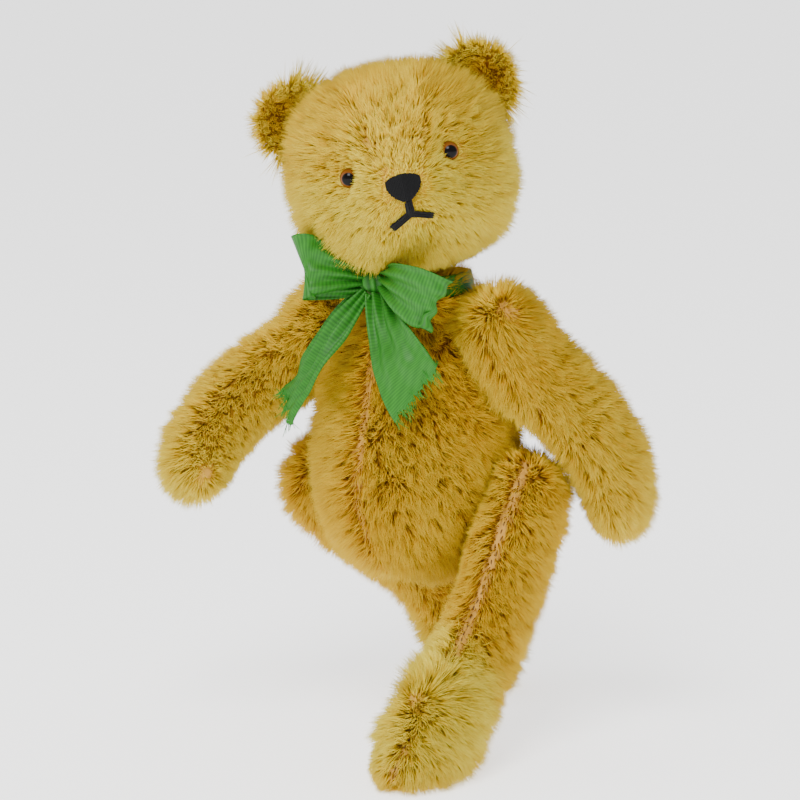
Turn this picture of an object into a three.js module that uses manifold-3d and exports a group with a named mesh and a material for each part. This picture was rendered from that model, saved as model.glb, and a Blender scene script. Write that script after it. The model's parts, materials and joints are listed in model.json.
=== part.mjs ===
// Small jointed teddy bear. Its neck, shoulders and hips each turn on a pair of discs held by a cotter pin.
// Millimetres, +Z up, the torso faces -Y, the bear's own left is +X.
import * as THREE from "three";
import { mergeVertices } from "three/addons/utils/BufferGeometryUtils.js";
import Module from "manifold-3d";

const wasm = await Module();
wasm.setup();

// driving dimensions
const CLOTH = 1.0; // thickness of the plush backing
const GAP = 0.3; // running gap between two pieces
const DISC_R = 5.4; // joint disc radius
const DISC_T = 1.4; // joint disc thickness
const WASHER_R = 2.8; // steel washer radius
const WASHER_T = 0.6; // steel washer thickness
const PIN_R = 0.6; // cotter wire radius
const PIN_HOLE_R = 1.1; // hole for the pin in cloth, disc and washer
const EYE_R = 2.6; // glass eye radius
const RIBBON_T = 0.6; // ribbon thickness
const NECK = new THREE.Vector3(1.4, -1, 125.9); // neck swivel centre before the floor shift
const NECK_TILT = 12; // degrees that the neck axis leans to the bear's right
const HEAD_TURN = 33; // degrees that the head is turned to the bear's left
const SHOULDER_Z = 107; // height of the shoulder joints
const HIP_Z = 66; // height of the hip joints
const HIP_YAW = 10; // degrees that each hip joint sits behind the side of the body
const SWING = { arm_left: -30, arm_right: 39, leg_left: 20, leg_right: -57.8 }; // forward is positive
const SOLE_FLAT = 1.4; // depth by which the floor flattens the standing toe
const SOLE_TILT = 0.3; // slope of the sole, toe down

const X = new THREE.Vector3(1, 0, 0);
const Z = new THREE.Vector3(0, 0, 1);
const rad = THREE.MathUtils.degToRad;

// rows of numbers read as one smooth curve, t from 0 at the first row to 1 at the last
function along(rows, t) {
  const at = Math.min(Math.max(t, 0), 1) * (rows.length - 1);
  const i = Math.min(Math.floor(at), rows.length - 2);
  const f = at - i;
  const row = (k) => rows[Math.min(Math.max(k, 0), rows.length - 1)];
  return rows[0].map((_, c) => {
    const [a, b, d, e] = [row(i - 1)[c], row(i)[c], row(i + 1)[c], row(i + 2)[c]];
    const curve = b + 0.5 * f * (d - a + f * (2 * a - 5 * b + 4 * d - e + f * (3 * (b - d) + e - a)));
    return Math.min(Math.max(curve, Math.min(b, d)), Math.max(b, d));
  });
}

// a closed body from a sphere: shape(t, angle) gives the point, t from 0 at the top to 1 at the bottom
function blob(shape, around, rings) {
  const geometry = new THREE.SphereGeometry(1, around, rings);
  const p = geometry.attributes.position;
  for (let i = 0; i < p.count; i++) {
    const ring = Math.floor(i / (around + 1));
    const angle = ((i % (around + 1)) / around) * 2 * Math.PI;
    const pole = ring === 0 || ring === rings;
    const v = shape(ring / rings, pole ? 0 : angle);
    if (pole) v.add(shape(ring / rings, Math.PI)).multiplyScalar(0.5);
    p.setXYZ(i, v.x, v.y, v.z);
  }
  return geometry;
}

// three geometry to a manifold solid, turned right side out
function solid(geometry) {
  const g = geometry.clone();
  g.deleteAttribute("normal");
  g.deleteAttribute("uv");
  const m = mergeVertices(g, 1e-4);
  const tris = [];
  for (let i = 0; i < m.index.count; i += 3) {
    const [a, b, c] = [m.index.getX(i), m.index.getX(i + 1), m.index.getX(i + 2)];
    if (a !== b && b !== c && a !== c) tris.push(a, b, c);
  }
  const p = m.attributes.position;
  let volume = 0;
  const [a, b, c] = [new THREE.Vector3(), new THREE.Vector3(), new THREE.Vector3()];
  for (let i = 0; i < tris.length; i += 3) {
    a.fromBufferAttribute(p, tris[i]);
    b.fromBufferAttribute(p, tris[i + 1]);
    c.fromBufferAttribute(p, tris[i + 2]);
    volume += a.dot(b.cross(c));
  }
  if (volume < 0) {
    for (let i = 0; i < tris.length; i += 3) [tris[i + 1], tris[i + 2]] = [tris[i + 2], tris[i + 1]];
  }
  const mesh = { numProp: 3, vertProperties: new Float32Array(p.array), triVerts: new Uint32Array(tris) };
  return new wasm.Manifold(new wasm.Mesh(mesh));
}

// a manifold solid as a named three mesh
function piece(name, body, colour, roughness = 0.9, metalness = 0) {
  const mesh = body.getMesh();
  const g = new THREE.BufferGeometry();
  const points = new Float32Array((mesh.vertProperties.length / mesh.numProp) * 3);
  for (let i = 0; i < points.length / 3; i++) {
    for (let k = 0; k < 3; k++) points[3 * i + k] = mesh.vertProperties[i * mesh.numProp + k];
  }
  g.setAttribute("position", new THREE.BufferAttribute(points, 3));
  g.setIndex(new THREE.BufferAttribute(new Uint32Array(mesh.triVerts), 1));
  g.computeVertexNormals();
  const out = new THREE.Mesh(g, new THREE.MeshStandardMaterial({ color: colour, roughness, metalness }));
  out.name = name;
  return out;
}

// a cylinder whose axis runs along local X from x0 to x1
function rod(radius, x0, x1, sides = 16) {
  const g = new THREE.CylinderGeometry(radius, radius, x1 - x0, sides);
  g.rotateZ(Math.PI / 2);
  g.translate((x0 + x1) / 2, 0, 0);
  return solid(g);
}

// a flat ring about local X from x0 to x1
function ring(radius, x0, x1, sides) {
  return rod(radius, x0, x1, sides).subtract(rod(PIN_HOLE_R, x0 - 1, x1 + 1, 8));
}

// cotter pin along local X: an eye at one end, a straight shank and a rolled-back tail at the other
function cotter(x0, x1) {
  const eye = 1.3;
  const path = new THREE.CatmullRomCurve3([
    new THREE.Vector3(x1 + 0.9, 0.0, 0.5),
    new THREE.Vector3(x1 + 1.7 + eye, 0, eye),
    new THREE.Vector3(x1 + 2.6 + eye, 0, 0),
    new THREE.Vector3(x1 + 1.9 + eye, 0, -eye),
    new THREE.Vector3(x1 + 0.9, 0, -1.0),
    new THREE.Vector3(x1, 0, 0),
    new THREE.Vector3((x0 + x1) / 2, 0, 0),
    new THREE.Vector3(x0 - 0.4, 0, 0),
    new THREE.Vector3(x0 - 1.6, 0, 0.9),
    new THREE.Vector3(x0 - 1.9, 0, 2.3),
    new THREE.Vector3(x0 - 1.1, 0, 3.1),
  ]);
  const wire = new THREE.Shape();
  wire.absarc(0, 0, PIN_R, 0, 2 * Math.PI);
  const run = { extrudePath: path, steps: 20, curveSegments: 3, bevelEnabled: false };
  const g = new THREE.ExtrudeGeometry(wire, run);
  return solid(g);
}

// the joint hardware on one side of a joint: disc and washer, stacked away from x = from
function stack(prefix, from, away) {
  const disc = [from, from + away * DISC_T].sort((p, q) => p - q);
  const next = from + away * (DISC_T + GAP);
  const washer = [next, next + away * WASHER_T].sort((p, q) => p - q);
  return [
    piece(`${prefix}_disc`, ring(DISC_R, disc[0], disc[1], 16), 0x8a6a45, 0.85),
    piece(`${prefix}_washer`, ring(WASHER_R, washer[0], washer[1], 10), 0x9a9a9a, 0.4, 1),
  ];
}

// torso: rows of height, half width, half depth and centre Y, from the neck down
const TORSO = [
  [124, 0, 0, -1],
  [124, 8.5, 8.5, -1],
  [122, 12.2, 12.2, -1],
  [116.6, 15.8, 15.6, -0.6],
  [109, 18.4, 18.4, -0.4],
  [101, 21, 21, -0.4],
  [91, 22.8, 23, -0.8],
  [81, 23.6, 24.4, -1.2],
  [71, 22.8, 24.8, -1.4],
  [62, 20.8, 23.4, -1.2],
  [54, 17, 19.2, -0.8],
  [48.6, 10.8, 12, -0.6],
  [47, 4.5, 4.8, -0.5],
  [47, 0, 0, -0.5],
];

function torsoPoint(t, angle, inset = 0) {
  const [z, rx, ry, cy] = along(TORSO, t);
  const fit = (38.5 - inset) / 38.5;
  const [ax, ay] = [Math.max(rx - inset, 0.005), Math.max(ry - inset, 0.005)];
  return new THREE.Vector3(ax * Math.cos(angle), cy + ay * Math.sin(angle), 85.5 + (z - 85.5) * fit);
}

// the frame of a joint on the torso's side: a point on the cloth and the outward normal there
function torsoJoint(height, yaw, side) {
  let [low, high] = [0, 1];
  for (let i = 0; i < 40; i++) {
    const mid = (low + high) / 2;
    if (torsoPoint(mid, 0).z > height) low = mid;
    else high = mid;
  }
  const angle = side > 0 ? yaw : Math.PI - yaw;
  const at = torsoPoint(low, angle);
  const down = torsoPoint(low + 0.03, angle).sub(torsoPoint(low - 0.03, angle));
  const turn = torsoPoint(low, angle + 0.05).sub(torsoPoint(low, angle - 0.05));
  const out = new THREE.Vector3().crossVectors(turn, down).normalize();
  if (out.x * side < 0) out.negate();
  return { at, out };
}

// a group whose local X is the joint's outward normal and whose local Z is as near up as it can be
function jointGroup(name, joint) {
  const y = new THREE.Vector3().crossVectors(Z, joint.out).normalize();
  const z = new THREE.Vector3().crossVectors(joint.out, y);
  const group = new THREE.Group();
  group.name = name;
  group.position.copy(joint.at);
  group.quaternion.setFromRotationMatrix(new THREE.Matrix4().makeBasis(joint.out, y, z));
  return group;
}

// limb: rows of height, centre forward, half thickness along X, half depth and outward bow, from the top
const ARM = [
  [11.4, 0, 0, 0, 0],
  [10.9, 0, 4.2, 5, 0],
  [8.4, 0, 7.2, 8.8, 0],
  [0, 0, 9, 11, 0],
  [-10, 0.2, 9.4, 11.2, 0],
  [-21, 0.8, 9.2, 10.8, 4.4],
  [-32, 1.8, 9, 10.4, 7],
  [-42, 3.2, 8.6, 10, 7.4],
  [-51, 4.8, 7.8, 8.9, 6.2],
  [-57, 6, 5.8, 6.6, 5],
  [-60, 6.6, 3, 3.4, 4.4],
  [-60.6, 6.8, 0, 0, 4.4],
];
const LEG = [
  [12.6, 0, 0, 0, 0],
  [12, 0, 4.2, 5.4, 0],
  [9.2, 0, 7.2, 10, 0],
  [1, 0, 8.5, 12.6, 0],
  [-11, 0.4, 9, 13.2, 0],
  [-25, 1, 9.6, 13, -0.2],
  [-40, 3, 10, 12.4, -1],
  [-50, 6.5, 10.6, 13.8, -1.6],
  [-59, 10, 11.6, 16.2, -2],
  [-66.5, 12.2, 12, 17.4, -2],
  [-73, 12.8, 11.6, 17.2, -2],
  [-77, 12.8, 9.6, 15, -2],
  [-78.2, 12.8, 6.4, 10.6, -2],
  [-78.4, 12.8, 0, 0, -2],
];

function limbPoint(rows, t, angle, inset, side) {
  let [z, forward, rx, ry, bow = 0] = along(rows, t);
  const length = (rows[0][0] - rows[rows.length - 1][0]) / 2;
  const middle = rows[0][0] - length;
  z = middle + ((z - middle) * (length - inset)) / length;
  const [ax, ay] = [Math.max(rx - inset, 0.005), Math.max(ry - inset, 0.005)];
  const centre = rows === ARM ? 8.2 : 8;
  const inward = Math.min(centre - GAP - inset, ax * 1.35);
  const c = Math.cos(angle);
  const away = THREE.MathUtils.smoothstep(-z, 10, 26);
  const flat = Math.min(inward, inward * 1.42 * Math.sqrt(Math.max(-c, 0)));
  const inner = THREE.MathUtils.lerp(flat, inward * -c, away);
  const x = bow + (c > 0 ? centre + ax * c : centre - inner);
  const y = -forward + ay * Math.sin(angle);
  if (rows === LEG) {
    const foot = THREE.MathUtils.smoothstep(-z, 42, 72);
    z += SOLE_TILT * (y + 26) * foot;
  }
  return new THREE.Vector3(x, side * y, z);
}

// shell, stuffing and hardware of one limb in its own frame, moved by the limb's swing
function limb(name, rows, side, floor, around, rings) {
  const joint = rows === ARM ? torsoJoint(SHOULDER_Z, 0, side) : torsoJoint(HIP_Z, rad(HIP_YAW), side);
  const group = jointGroup(name, joint);
  const swing = new THREE.Group();
  swing.name = `${name}_swing`;
  swing.rotation.x = rad(-SWING[name]) * side;
  group.add(swing);
  group.updateMatrixWorld(true);
  const up = swing.matrixWorld;
  const back = up.clone().invert();
  const settle = (inset) => (t, angle) => {
    const p = limbPoint(rows, t, angle, inset, side);
    if (floor === null) return p;
    p.applyMatrix4(up);
    p.z = Math.max(p.z, floor + inset);
    return p.applyMatrix4(back);
  };
  const hole = rod(PIN_HOLE_R, -1, 4, 8);
  const outer = solid(blob(settle(0), around, rings));
  const inner = solid(blob(settle(CLOTH), around - 6, rings - 5));
  const filling = solid(blob(settle(CLOTH + GAP), around - 6, rings - 5));
  const bay = rod(DISC_R + GAP, -1, GAP + CLOTH + GAP + DISC_T + WASHER_T + 3 * GAP, 16);
  const well = rod(3.4, -1, 11.5, 12);
  swing.add(piece(`${name}_shell`, outer.subtract(inner).subtract(hole), 0xb9832b));
  swing.add(piece(`${name}_stuffing`, filling.subtract(bay).subtract(well), 0xc9a878));
  for (const part of stack(name, 2 * GAP + CLOTH, 1)) swing.add(part);
  const pinEnd = 2 * GAP + CLOTH + DISC_T + WASHER_T + 2 * GAP;
  swing.add(piece(`${name}_cotter_pin`, cotter(-7.2, pinEnd), 0xa8a8a8, 0.35, 1));
  return { group, joint };
}

// lowest point of a limb's skin
function lowest(name, rows, side) {
  const group = jointGroup(name, torsoJoint(HIP_Z, rad(HIP_YAW), side));
  const swing = new THREE.Group();
  swing.rotation.x = rad(-SWING[name]) * side;
  group.add(swing);
  group.updateMatrixWorld(true);
  let z = Infinity;
  for (let i = 0; i <= 40; i++) {
    for (let k = 0; k < 40; k++) {
      const p = limbPoint(rows, i / 40, (k / 40) * 2 * Math.PI, 0, side).applyMatrix4(swing.matrixWorld);
      z = Math.min(z, p.z);
    }
  }
  return z;
}

// head: rows of height, half width, half depth and centre Y in the neck's frame, from the crown down
const HEAD = [
  [50.4, 0, 0, -1],
  [50, 9, 8, -1],
  [48, 15.8, 14, -1],
  [44.2, 21, 18.6, -1.2],
  [38.4, 24.6, 21.8, -1.6],
  [31, 26.4, 23.2, -2],
  [23.4, 26.6, 23.4, -2.2],
  [16.4, 25.6, 22.4, -2.4],
  [10.4, 22.8, 20.2, -2.4],
  [5.6, 18.4, 16.6, -2],
  [2.4, 13.4, 12.6, -1],
  [0.8, 8.6, 8.4, 0],
  [0.6, 0, 0, 0],
];
const MUZZLE = { reach: 9, z: 20.5, wide: 12, tall: 10.5 };

function headPoint(t, angle, inset = 0) {
  const [z, rx, ry, cy] = along(HEAD, t);
  const fit = (24.9 - inset) / 24.9;
  const [ax, ay] = [Math.max(rx - inset, 0.005), Math.max(ry - inset, 0.005)];
  const p = new THREE.Vector3(ax * Math.cos(angle), cy + ay * Math.sin(angle), 25.5 + (z - 25.5) * fit);
  if (p.y < 0) {
    const [u, v] = [p.x / MUZZLE.wide, (p.z - MUZZLE.z) / MUZZLE.tall];
    const front = THREE.MathUtils.smoothstep(-p.y, 0, 14);
    p.y -= MUZZLE.reach * Math.exp(-(u * u * u * u * 0.6 + u * u * 0.5 + v * v)) * front;
  }
  return p;
}

// the head's front surface at a given x and z
function faceY(x, z) {
  let best = 0;
  for (let i = 1; i < 160; i++) {
    for (let k = 0; k < 160; k++) {
      const p = headPoint(i / 160, Math.PI * (1 + k / 160));
      if (Math.abs(p.x - x) < 0.6 && Math.abs(p.z - z) < 0.6) best = Math.min(best, p.y);
    }
  }
  return best;
}

// an outline in the face's plane, cut from the cloth surface: from lift to lift + thick above it
function patch(shape, lift, thick) {
  const g = new THREE.ExtrudeGeometry(shape, { depth: 40, bevelEnabled: false, curveSegments: 5 });
  g.rotateX(Math.PI / 2);
  const over = solid(blob((t, a) => headPoint(t, a, -lift - thick), 28, 20));
  const under = solid(blob((t, a) => headPoint(t, a, -lift), 28, 20));
  return solid(g).intersect(over).subtract(under);
}

function noseShape() {
  const s = new THREE.Shape();
  s.moveTo(-4.3, 26.6);
  s.bezierCurveTo(-3.2, 28.2, 3.2, 28.2, 4.3, 26.6);
  s.bezierCurveTo(4.9, 24.6, 3.2, 22.4, 0.9, 21.4);
  s.lineTo(-0.9, 21.4);
  s.bezierCurveTo(-3.2, 22.4, -4.9, 24.6, -4.3, 26.6);
  return s;
}

function mouthShape() {
  const s = new THREE.Shape();
  s.moveTo(-0.7, 20.8);
  s.lineTo(0.7, 20.8);
  s.lineTo(0.8, 18.4);
  s.lineTo(5.4, 17);
  s.lineTo(5, 15.7);
  s.lineTo(0, 17);
  s.lineTo(-4.8, 14.4);
  s.lineTo(-5.5, 15.6);
  s.lineTo(-0.8, 18.4);
  s.closePath();
  return s;
}

// one layer of an ear: a shallow cup, its open side to -Y, from radius r, lying depth behind the rim
function earLayer(side, behind) {
  const cup = (t, angle, off) => {
    const rim = 10.2 * Math.min(t * 2, 2 - t * 2);
    const front = t < 0.5 ? -0.5 : 0.5;
    const bow = 4.2 * (1 - (rim * rim) / 104);
    const y = bow + front * 1.0 * Math.sqrt(Math.max(1 - (rim / 10.2) ** 6, 0)) + off;
    return new THREE.Vector3(rim * Math.cos(angle), y, rim * 0.98 * Math.sin(angle));
  };
  const g = blob((t, a) => cup(t, a, behind), 16, 8);
  g.rotateX(rad(6));
  g.rotateZ(rad(-12 * side));
  g.rotateY(rad(34 * side));
  g.translate(23.8 * side, -0.4, 43.6);
  return solid(g);
}

// ribbon strip: a box bent along rows of centre point, width and width direction
function strip(rows) {
  const g = new THREE.BoxGeometry(1, 1, 1, 2, 1, 14);
  const path = new THREE.CatmullRomCurve3(rows.map((r) => new THREE.Vector3(r[0], r[1], r[2])));
  const dirs = new THREE.CatmullRomCurve3(rows.map((r) => new THREE.Vector3(r[4], r[5], r[6])));
  const widths = rows.map((r) => [r[3]]);
  const p = g.attributes.position;
  for (let i = 0; i < p.count; i++) {
    const t = p.getZ(i) + 0.5;
    const run = path.getTangent(t);
    const wide = dirs.getPoint(t).normalize();
    wide.addScaledVector(run, -wide.dot(run)).normalize();
    const thin = new THREE.Vector3().crossVectors(run, wide).normalize();
    const w = along(widths, t)[0];
    const at = path.getPoint(t).addScaledVector(wide, p.getX(i) * w);
    at.addScaledVector(thin, p.getY(i) * RIBBON_T);
    p.setXYZ(i, at.x, at.y, at.z);
  }
  return solid(g);
}

const root = new THREE.Group();
root.name = "jointed_teddy_bear";
const floor = lowest("leg_left", LEG, 1) + SOLE_FLAT;

// the four limbs first, because the torso's holes follow their joints
const limbs = {
  arm_left: limb("arm_left", ARM, 1, null, 18, 14),
  arm_right: limb("arm_right", ARM, -1, null, 18, 14),
  leg_left: limb("leg_left", LEG, 1, floor, 20, 16),
  leg_right: limb("leg_right", LEG, -1, null, 20, 16),
};
for (const name in limbs) root.add(limbs[name].group);

// neck frame: the axis leans to the bear's right and a little back, the head turns about it
const headTurn = new THREE.Group();
headTurn.name = "head";
const neckAxis = new THREE.Vector3(-0.857, -0.515, 0).multiplyScalar(Math.sin(rad(NECK_TILT)));
neckAxis.z = Math.cos(rad(NECK_TILT));
neckAxis.normalize();
headTurn.position.copy(NECK);
headTurn.quaternion.setFromUnitVectors(Z, neckAxis);
headTurn.quaternion.multiply(new THREE.Quaternion().setFromAxisAngle(Z, rad(HEAD_TURN)));
root.add(headTurn);

// head cloth, stuffing, ears, eyes, nose and mouth
const toNeck = (s) => s.rotate([0, -90, 0]);
const headOuter = solid(blob((t, a) => headPoint(t, a), 28, 20));
const headInner = solid(blob((t, a) => headPoint(t, a, CLOTH), 20, 14));
const headFill = solid(blob((t, a) => headPoint(t, a, CLOTH + GAP), 20, 14));
const eyeSpots = [-1, 1].map((side) => {
  const [x, z] = [12.8 * side, 29.4 + 0.7 * side];
  return new THREE.Vector3(x, faceY(x, z) + 0.9, z);
});
let headShell = headOuter.subtract(headInner).subtract(toNeck(rod(PIN_HOLE_R, -2, 4, 8)));
let headStuffing = headFill.subtract(toNeck(rod(DISC_R + GAP, -2, 5.2, 16)));
headStuffing = headStuffing.subtract(toNeck(rod(3.4, -2, 13, 12)));
for (const [i, spot] of eyeSpots.entries()) {
  const label = i ? "left" : "right";
  const ball = new THREE.SphereGeometry(EYE_R, 14, 10);
  ball.translate(spot.x, spot.y, spot.z);
  const room = new THREE.SphereGeometry(EYE_R + GAP, 12, 8);
  room.translate(spot.x, spot.y, spot.z);
  const inward = new THREE.Vector3(-spot.x * 0.25, 9, 0).normalize();
  const wire = (r, from, to) => {
    const g = new THREE.CylinderGeometry(r, r, to - from, 8);
    g.applyQuaternion(new THREE.Quaternion().setFromUnitVectors(new THREE.Vector3(0, 1, 0), inward));
    const mid = spot.clone().addScaledVector(inward, (from + to) / 2);
    g.translate(mid.x, mid.y, mid.z);
    return solid(g);
  };
  const loop = new THREE.TorusGeometry(1.5, 0.4, 6, 12);
  loop.rotateY(Math.PI / 2);
  const end = spot.clone().addScaledVector(inward, 9.2);
  loop.translate(end.x, end.y, end.z);
  const shank = wire(0.4, EYE_R + GAP, 8).add(solid(loop));
  headShell = headShell.subtract(solid(room)).subtract(wire(0.8, 0, 11.4));
  headStuffing = headStuffing.subtract(solid(room)).subtract(wire(2.3, 0, 11.6));
  headTurn.add(piece(`eye_${label}_glass`, solid(ball), 0x6b3f17, 0.08));
  headTurn.add(piece(`eye_${label}_shank`, shank, 0x8f8f8f, 0.4, 1));
}
headTurn.add(piece("head_shell", headShell, 0xc49a45));
headTurn.add(piece("head_stuffing", headStuffing, 0xc9a878));
const headRoom = solid(blob((t, a) => headPoint(t, a, -GAP), 28, 20));
for (const side of [1, -1]) {
  const label = side > 0 ? "left" : "right";
  headTurn.add(piece(`ear_${label}_lining`, earLayer(side, 0).subtract(headRoom), 0x9a6a2e));
  headTurn.add(piece(`ear_${label}_back`, earLayer(side, 1.0 + GAP).subtract(headRoom), 0xc49a45));
}
headTurn.add(piece("nose_stitching", patch(noseShape(), 0.3, 1.1), 0x0c0c0e, 0.5));
headTurn.add(piece("mouth_stitching", patch(mouthShape(), 0.3, 0.8), 0x0c0c0e, 0.5));
const upright = (meshes) => {
  for (const m of meshes) {
    m.geometry.rotateY(-Math.PI / 2);
    headTurn.add(m);
  }
};
upright(stack("neck_upper", 0.6 + CLOTH + GAP, 1));
const neckPin = cotter(-8.4, 0.6 + CLOTH + GAP + DISC_T + WASHER_T + 2 * GAP);
upright([piece("neck_cotter_pin", neckPin, 0xa8a8a8, 0.35, 1)]);

// torso cloth, stuffing and the discs inside it
const inTorso = (group, s) => {
  group.updateMatrixWorld(true);
  return s.transform(group.matrixWorld.toArray());
};
let torsoShell = solid(blob((t, a) => torsoPoint(t, a), 26, 18));
torsoShell = torsoShell.subtract(solid(blob((t, a) => torsoPoint(t, a, CLOTH), 20, 13)));
let torsoStuffing = solid(blob((t, a) => torsoPoint(t, a, CLOTH + GAP), 20, 13));
const sockets = Object.entries(limbs).map(([name, l]) => [name, l.group, -2.9]);
const neckSocket = new THREE.Group();
neckSocket.position.copy(NECK);
neckSocket.quaternion.setFromUnitVectors(X, neckAxis);
sockets.push(["neck_lower", neckSocket, -4.3]);
for (const [name, group, from] of sockets) {
  torsoShell = torsoShell.subtract(inTorso(group, rod(PIN_HOLE_R, -6, 2, 8)));
  torsoStuffing = torsoStuffing.subtract(inTorso(group, rod(DISC_R + GAP, -7.2, 2, 16)));
  torsoStuffing = torsoStuffing.subtract(inTorso(group, rod(4.2, -11.6, 2, 12)));
  const prefix = name.startsWith("neck") ? name : name.replace("arm", "shoulder").replace("leg", "hip");
  for (const part of stack(prefix, from, -1)) {
    part.geometry.applyMatrix4(group.matrixWorld);
    root.add(part);
  }
}
root.add(piece("torso_shell", torsoShell, 0xb07a22));
root.add(piece("torso_stuffing", torsoStuffing, 0xc9a878));

// ribbon: a band round the neck, a knot at the throat, two loops and two tails
const bandShape = [
  [14.8, 119.6],
  [15.4, 119.9],
  [14.0, 123.8],
  [13.3, 123.4],
  [14.8, 119.6],
].map(([r, z]) => new THREE.Vector2(r, z));
const bandTurn = new THREE.LatheGeometry(bandShape, 24);
bandTurn.rotateX(Math.PI / 2);
bandTurn.translate(0, -1, 0);
const bandBody = solid(bandTurn);
const knotAt = new THREE.Vector3(-1, -20.4, 124.2);
const knotBlob = (grow) =>
  solid(
    blob(
      (t, a) => {
        const r = Math.sin(Math.PI * t);
        const x = (3.6 + grow) * r * Math.cos(a);
        const y = (2.4 + grow) * r * Math.sin(a);
        return new THREE.Vector3(x, y, (3.4 + grow) * Math.cos(Math.PI * t)).add(knotAt);
      },
      12,
      8,
    ),
  );
const knotRoom = knotBlob(GAP);
const green = 0x2f8a3c;
root.add(piece("ribbon_band", bandBody.subtract(knotRoom), green, 0.6));
root.add(piece("ribbon_knot", knotBlob(0), green, 0.6));

// each row of a bow strip: its centre point, its width there and the way its width runs
const BOW = {
  loop_right: [
    [-4.6, -21.4, 125, 4, 0, 0, 1],
    [-11, -29, 125.2, 9, -0.2, 0, 1],
    [-18.6, -34, 126.4, 13, -0.35, 0, 1],
    [-20.6, -32.4, 126.4, 14, -0.35, 0, 1],
    [-18, -29.4, 125.4, 13, -0.3, 0, 1],
    [-10, -25, 123.4, 8, -0.2, 0, 1],
    [-4.6, -20.2, 123.2, 4, 0, 0, 1],
  ],
  loop_left: [
    [2.4, -20.8, 125.4, 4, 0, 0, 1],
    [8, -26.6, 124, 9, 0.1, 0, 1],
    [15, -29.8, 121.6, 11, 0.3, 0, 1],
    [17.6, -28.4, 120.6, 12, 0.3, 0, 1],
    [15.4, -26, 120.6, 11, 0.3, 0, 1],
    [8, -23.6, 122.4, 8, 0.1, 0, 1],
    [2.6, -19.6, 123.8, 4, 0, 0, 1],
  ],
  tail_right: [
    [-3.6, -21.4, 119.6, 4, 1, 0.2, 0],
    [-7.6, -26.4, 113.2, 8, 1, -0.2, 0],
    [-11.6, -31.6, 105, 11, 1, -0.5, 0.1],
    [-15.2, -33, 98, 13, 1, -0.6, 0.1],
    [-17.6, -33.6, 93, 14, 1, -0.6, 0.1],
  ],
  tail_left: [
    [1.8, -21.4, 119.8, 4, 1, 0, 0.2],
    [5.2, -26.6, 113.4, 9, 1, 0, 0.3],
    [9.2, -31, 106, 13, 1, 0.1, 0.3],
    [12, -31.6, 100, 15, 1, 0.15, 0.3],
    [14, -31.4, 95, 16, 1, 0.2, 0.3],
  ],
};
for (const name in BOW) root.add(piece(`ribbon_${name}`, strip(BOW[name]).subtract(knotRoom), green, 0.6));

// origin at the middle of the footprint, at floor level
root.updateMatrixWorld(true);
const box = new THREE.Box3().setFromObject(root, true);
const group = new THREE.Group();
group.name = "bear";
root.position.set(-(box.min.x + box.max.x) / 2, -(box.min.y + box.max.y) / 2, -box.min.z);
group.add(root);

export default group;
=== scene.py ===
import json
import math

import bmesh
import bpy
import numpy as np
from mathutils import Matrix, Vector
from mathutils.bvhtree import BVHTree


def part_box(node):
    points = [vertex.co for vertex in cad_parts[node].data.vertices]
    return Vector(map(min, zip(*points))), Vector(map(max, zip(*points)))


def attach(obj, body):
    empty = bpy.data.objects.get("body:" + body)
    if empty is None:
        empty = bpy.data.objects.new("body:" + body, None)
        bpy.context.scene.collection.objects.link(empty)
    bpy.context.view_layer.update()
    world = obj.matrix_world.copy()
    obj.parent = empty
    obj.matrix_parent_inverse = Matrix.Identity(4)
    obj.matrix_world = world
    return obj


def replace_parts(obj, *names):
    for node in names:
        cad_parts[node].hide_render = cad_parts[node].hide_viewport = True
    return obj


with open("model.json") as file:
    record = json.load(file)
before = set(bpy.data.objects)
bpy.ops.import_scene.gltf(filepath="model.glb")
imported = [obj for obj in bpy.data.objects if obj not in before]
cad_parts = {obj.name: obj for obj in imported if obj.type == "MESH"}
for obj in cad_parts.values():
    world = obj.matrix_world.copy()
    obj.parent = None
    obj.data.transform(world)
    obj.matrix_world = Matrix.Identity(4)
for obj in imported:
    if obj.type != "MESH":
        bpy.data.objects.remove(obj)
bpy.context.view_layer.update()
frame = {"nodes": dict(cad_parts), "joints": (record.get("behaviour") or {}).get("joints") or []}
nodes = frame["nodes"]
joint = {j["child"]: j for j in frame["joints"]}


# --- Torso cover -----------------------------------------------------------------------------------------------
# The body is two plush panels sewn right sides together down the front and the back, turned, and packed hard with
# wood wool through the back seam. The panels' woven backing shows wherever the pile parts at a seam.
def as_object(name, mesh, body):
    """A finished mesh as a piece that rides on one body of the bear."""
    piece = bpy.data.objects.new(name, mesh)
    bpy.context.scene.collection.objects.link(piece)
    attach(piece, body)
    return piece


def outer_skin(node):
    """The outside of a hollow cover, its pin hole closed, as a bmesh."""
    sight_lines, shut_in, off_cloth = 26, 3, 2e-4  # a face with fewer than shut_in clear sight lines is inside
    bm = bmesh.new()
    bm.from_mesh(nodes[node].data)
    bmesh.ops.remove_doubles(bm, verts=bm.verts, dist=1e-6)
    tree = BVHTree.FromBMesh(bm)
    ways = [Vector(w).normalized() for w in np.random.default_rng(3).normal(size=(sight_lines, 3))]
    inside = []
    for face in bm.faces:
        start = face.calc_center_median() + face.normal * off_cloth
        clear = sum(tree.ray_cast(start, way)[0] is None for way in ways if way.dot(face.normal) > 0)
        if clear < shut_in:
            inside.append(face)
    bmesh.ops.delete(bm, geom=inside, context="FACES")
    bmesh.ops.holes_fill(bm, edges=bm.edges, sides=0)
    bmesh.ops.recalc_face_normals(bm, faces=bm.faces)
    return bm


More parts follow.
